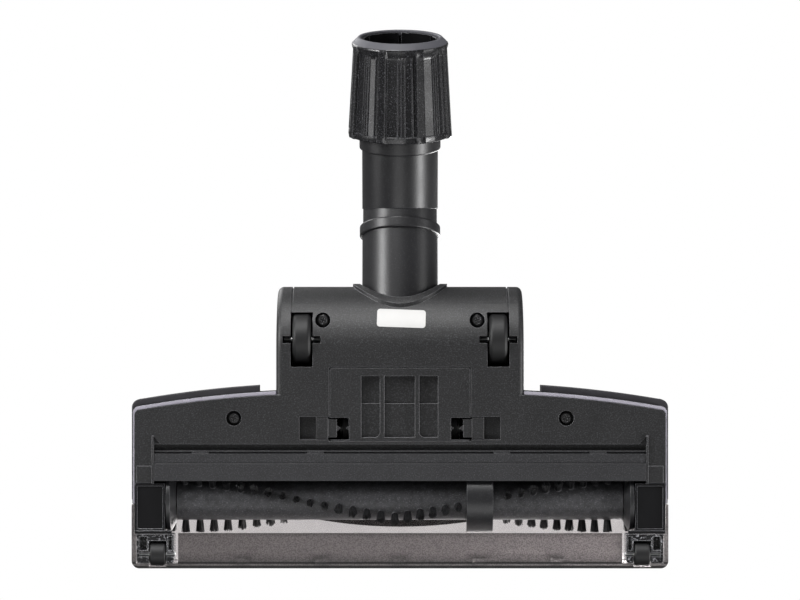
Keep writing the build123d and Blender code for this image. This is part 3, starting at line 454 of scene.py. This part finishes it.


# brush: tufts of single bristles and their sockets

brushLook = {
    "axis": (-107.895, 18.0), "coreRadius": 10.8, "tipRadius": 17.45, "middle": 2.6, "apex": 43.0,
    "pitchLeft": 7.32, "pitchRight": 6.55, "tuftsLeft": 15, "tuftsRight": 17,
    "secondRow": 145.0, "wrap": 0.91, "beltAt": -41.6, "beltRoom": 8.6,
    "bristles": 75, "footSpread": 1.5, "tipSpread": 2.3, "bristleRadius": 0.2,
    "collarRadius": 1.95, "collarSunk": 0.35,
    "collar": ((0.42, 1.85), (0.5, 1.7), (0.5, 1.55), (0.42, 1.4), (0.0, 1.35))}  # rise and radius, outside to inside


def tuftPlaces(look):
    for row in (0, look["secondRow"]):
        for i in range(-look["tuftsRight"], look["tuftsLeft"] + 1):
            away = i * (look["pitchLeft"] if i > 0 else look["pitchRight"])
            if abs(look["middle"] + away - look["beltAt"]) > look["beltRoom"]:
                yield look["middle"] + away, math.radians(look["apex"] + row - look["wrap"] * abs(away))


def tuftFrame(look, x, turn):  # x along the brush, z out of the core
    out = Vector((0, -math.sin(turn), -math.cos(turn)))
    side = out.cross(Vector((1, 0, 0)))
    middle = Vector((x, look["axis"][0], look["axis"][1]))
    return middle, out, side


def buildTufts(look):
    bm = bmesh.new()
    dice = random.Random(7)
    for x, turn in tuftPlaces(look):
        middle, out, side = tuftFrame(look, x, turn)
        for _ in range(look["bristles"]):
            share, angle = math.sqrt(dice.random()), dice.random() * 2 * math.pi
            across = Vector((1, 0, 0)) * math.cos(angle) + side * math.sin(angle)
            foot = middle + out * (look["coreRadius"] - 0.5) + across * share * look["footSpread"]
            sway = Vector((1, 0, 0)) * dice.uniform(-0.25, 0.25) + side * dice.uniform(-0.25, 0.25)
            tip = middle + out * (look["tipRadius"] - dice.random() * 0.7) + across * share * look["tipSpread"] + sway
            axis = tip - foot
            place = Matrix.Translation((foot + tip) / 2) @ axis.to_track_quat("Z", "Y").to_matrix().to_4x4()
            bmesh.ops.create_cone(bm, cap_ends=True, segments=4, radius1=look["bristleRadius"],
                                  radius2=look["bristleRadius"] * 0.8, depth=axis.length, matrix=place)
    bmesh.ops.transform(bm, matrix=Matrix.Scale(mm, 4), verts=bm.verts)
    return bm


def buildSockets(look):  # a low collar round each tuft's foot
    bm = bmesh.new()
    for x, turn in tuftPlaces(look):
        middle, out, _ = tuftFrame(look, x, turn)
        lean = out.to_track_quat("Z", "Y").to_matrix().to_4x4()
        place = Matrix.Translation(middle + out * (look["coreRadius"] - look["collarSunk"])) @ lean
        first = bmesh.ops.create_circle(bm, segments=14, radius=look["collarRadius"], matrix=place)["verts"]
        firstEdges = list({e for v in first for e in v.link_edges})
        edges = firstEdges
        for rise, radius in look["collar"]:
            made = bmesh.ops.extrude_edge_only(bm, edges=edges)["geom"]
            edges = [g for g in made if isinstance(g, bmesh.types.BMEdge)]
            for v in (g for g in made if isinstance(g, bmesh.types.BMVert)):
                flat = place.inverted() @ v.co
                flat = Vector((flat.x, flat.y, 0)).normalized() * radius
                v.co = place @ Vector((flat.x, flat.y, rise))
        bmesh.ops.bridge_loops(bm, edges=firstEdges + edges)
    bmesh.ops.recalc_face_normals(bm, faces=bm.faces)
    bmesh.ops.transform(bm, matrix=Matrix.Scale(mm, 4), verts=bm.verts)
    return bm


tufts = finish(meshPiece(buildTufts(brushLook), "bristle_bundles", 50), bristleNylon, "brush")
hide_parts("bristle_tufts", "end_tufts")
sockets = finish(meshPiece(buildSockets(brushLook), "tuft_collars", 40), brushPolypropylene, "brush")
print("brush made, bristles:", len(tufts.data.polygons) // 6)


# studio: pale floor seen from above only, soft lamps, camera under the sole

studioLook = {
    "floor": "e9e8e6", "floorHalf": 20.0, "backdrop": 1.0, "through": 1.3, "fill": 0.14,
    "cameraDistance": 1.5, "baseZ": 3.0, "aimY": -3.295, "viewWidth": 416.0, "sensorWidth": 36.0,
    # name, place, aim, size, watts
    "lamps": (("rearKey", (0.25, 1.25, -0.75), (0, 0, 0.02), 0.6, 13),
              ("rearLow", (0, 1.55, -0.3), (0, 0.1, 0.03), 0.8, 7),
              ("tubeLeft", (1.05, 0.5, -0.6), (0, 0.05, 0.03), 0.34, 11),
              ("tubeRight", (-1.15, -0.45, -0.36), (0, 0.08, 0.03), 0.34, 11),
              ("sideLeft", (1.3, 0.0, -0.35), (0, 0, 0.02), 0.5, 3),
              ("sideRight", (-1.3, 0.2, -0.35), (0, 0, 0.02), 0.5, 3),
              ("front", (0.1, -0.8, -1.1), (0, -0.05, 0.02), 0.7, 3.5),
              ("overhead", (-0.66, -0.76, 1.36), (0, 0, 0), 1.1, 41),
              ("overheadRear", (0.8, 0.9, 1.1), (0, 0, 0), 0.9, 12))}


def paleFloor(look):
    material, tree = startMaterial("paleStudioFloor")  # even matt paint, seen from above; open from below
    place = addNode(tree, "ShaderNodeTexCoord")
    mottle = addNode(tree, "ShaderNodeTexNoise", {"Scale": 3.0, "Detail": 3.0}, {"Vector": place.outputs["Object"]})
    rough = addNode(tree, "ShaderNodeMapRange", {"To Min": 0.7, "To Max": 0.85}, {"Value": mottle.outputs["Fac"]})
    paint = addNode(tree, "ShaderNodeBsdfPrincipled", {"Base Color": hexColour(look["floor"])},
                    {"Roughness": rough.outputs["Result"]})
    under = addNode(tree, "ShaderNodeBsdfTransparent")
    side = addNode(tree, "ShaderNodeNewGeometry")
    mixed = addNode(tree, "ShaderNodeMixShader", {}, {0: side.outputs["Backfacing"], 1: paint.outputs["BSDF"],
                                                      2: under.outputs["BSDF"]})
    addNode(tree, "ShaderNodeOutputMaterial", {}, {"Surface": mixed.outputs["Shader"]})
    bm = bmesh.new()
    bmesh.ops.create_grid(bm, x_segments=1, y_segments=1, size=look["floorHalf"])
    floor = meshPiece(bm, "floor")
    floor.data.materials.append(material)
    floor.visible_shadow = False
    floor.visible_diffuse = False
    floor.visible_glossy = False
    return floor


def softLamp(name, place, aim, size, watts):
    lamp = bpy.data.lights.new(name, "AREA")
    lamp.shape, lamp.size, lamp.energy = "SQUARE", size, watts
    obj = bpy.data.objects.new(name, lamp)
    obj.location = place
    obj.rotation_euler = (Vector(aim) - Vector(place)).to_track_quat("-Z", "Y").to_euler()
    obj.visible_camera = False
    bpy.context.scene.collection.objects.link(obj)
    return obj


paleFloor(studioLook)
for lamp in studioLook["lamps"]:
    softLamp(*lamp)

world = bpy.data.worlds.new("whiteStudio")
world.use_nodes = True
world.node_tree.nodes.clear()
path = addNode(world.node_tree, "ShaderNodeLightPath")
seen = addNode(world.node_tree, "ShaderNodeMapRange", {"To Min": studioLook["fill"], "To Max": studioLook["through"]},
               {"Value": path.outputs["Is Transmission Ray"]})
level = addNode(world.node_tree, "ShaderNodeMapRange", {"To Max": studioLook["backdrop"]},
                {"Value": path.outputs["Is Camera Ray"], "To Min": seen.outputs["Result"]})
sky = addNode(world.node_tree, "ShaderNodeBackground", {"Color": (1, 1, 1, 1)}, {"Strength": level.outputs["Result"]})
addNode(world.node_tree, "ShaderNodeOutputWorld", {}, {"Surface": sky.outputs["Background"]})
bpy.context.scene.world = world
bpy.context.scene.view_settings.view_transform = "Standard"

lens = bpy.data.cameras.new("underside")
lens.sensor_width = studioLook["sensorWidth"]
lens.lens = studioLook["sensorWidth"] * studioLook["cameraDistance"] / (studioLook["viewWidth"] * mm)
camera = bpy.data.objects.new("underside", lens)
camera.location = (0, studioLook["aimY"] * mm, studioLook["baseZ"] * mm - studioLook["cameraDistance"])
camera.rotation_euler = (math.pi, 0, math.pi)  # looks straight up, rear of the nozzle at the top
bpy.context.scene.collection.objects.link(camera)
bpy.context.scene.camera = camera
print("studio set")
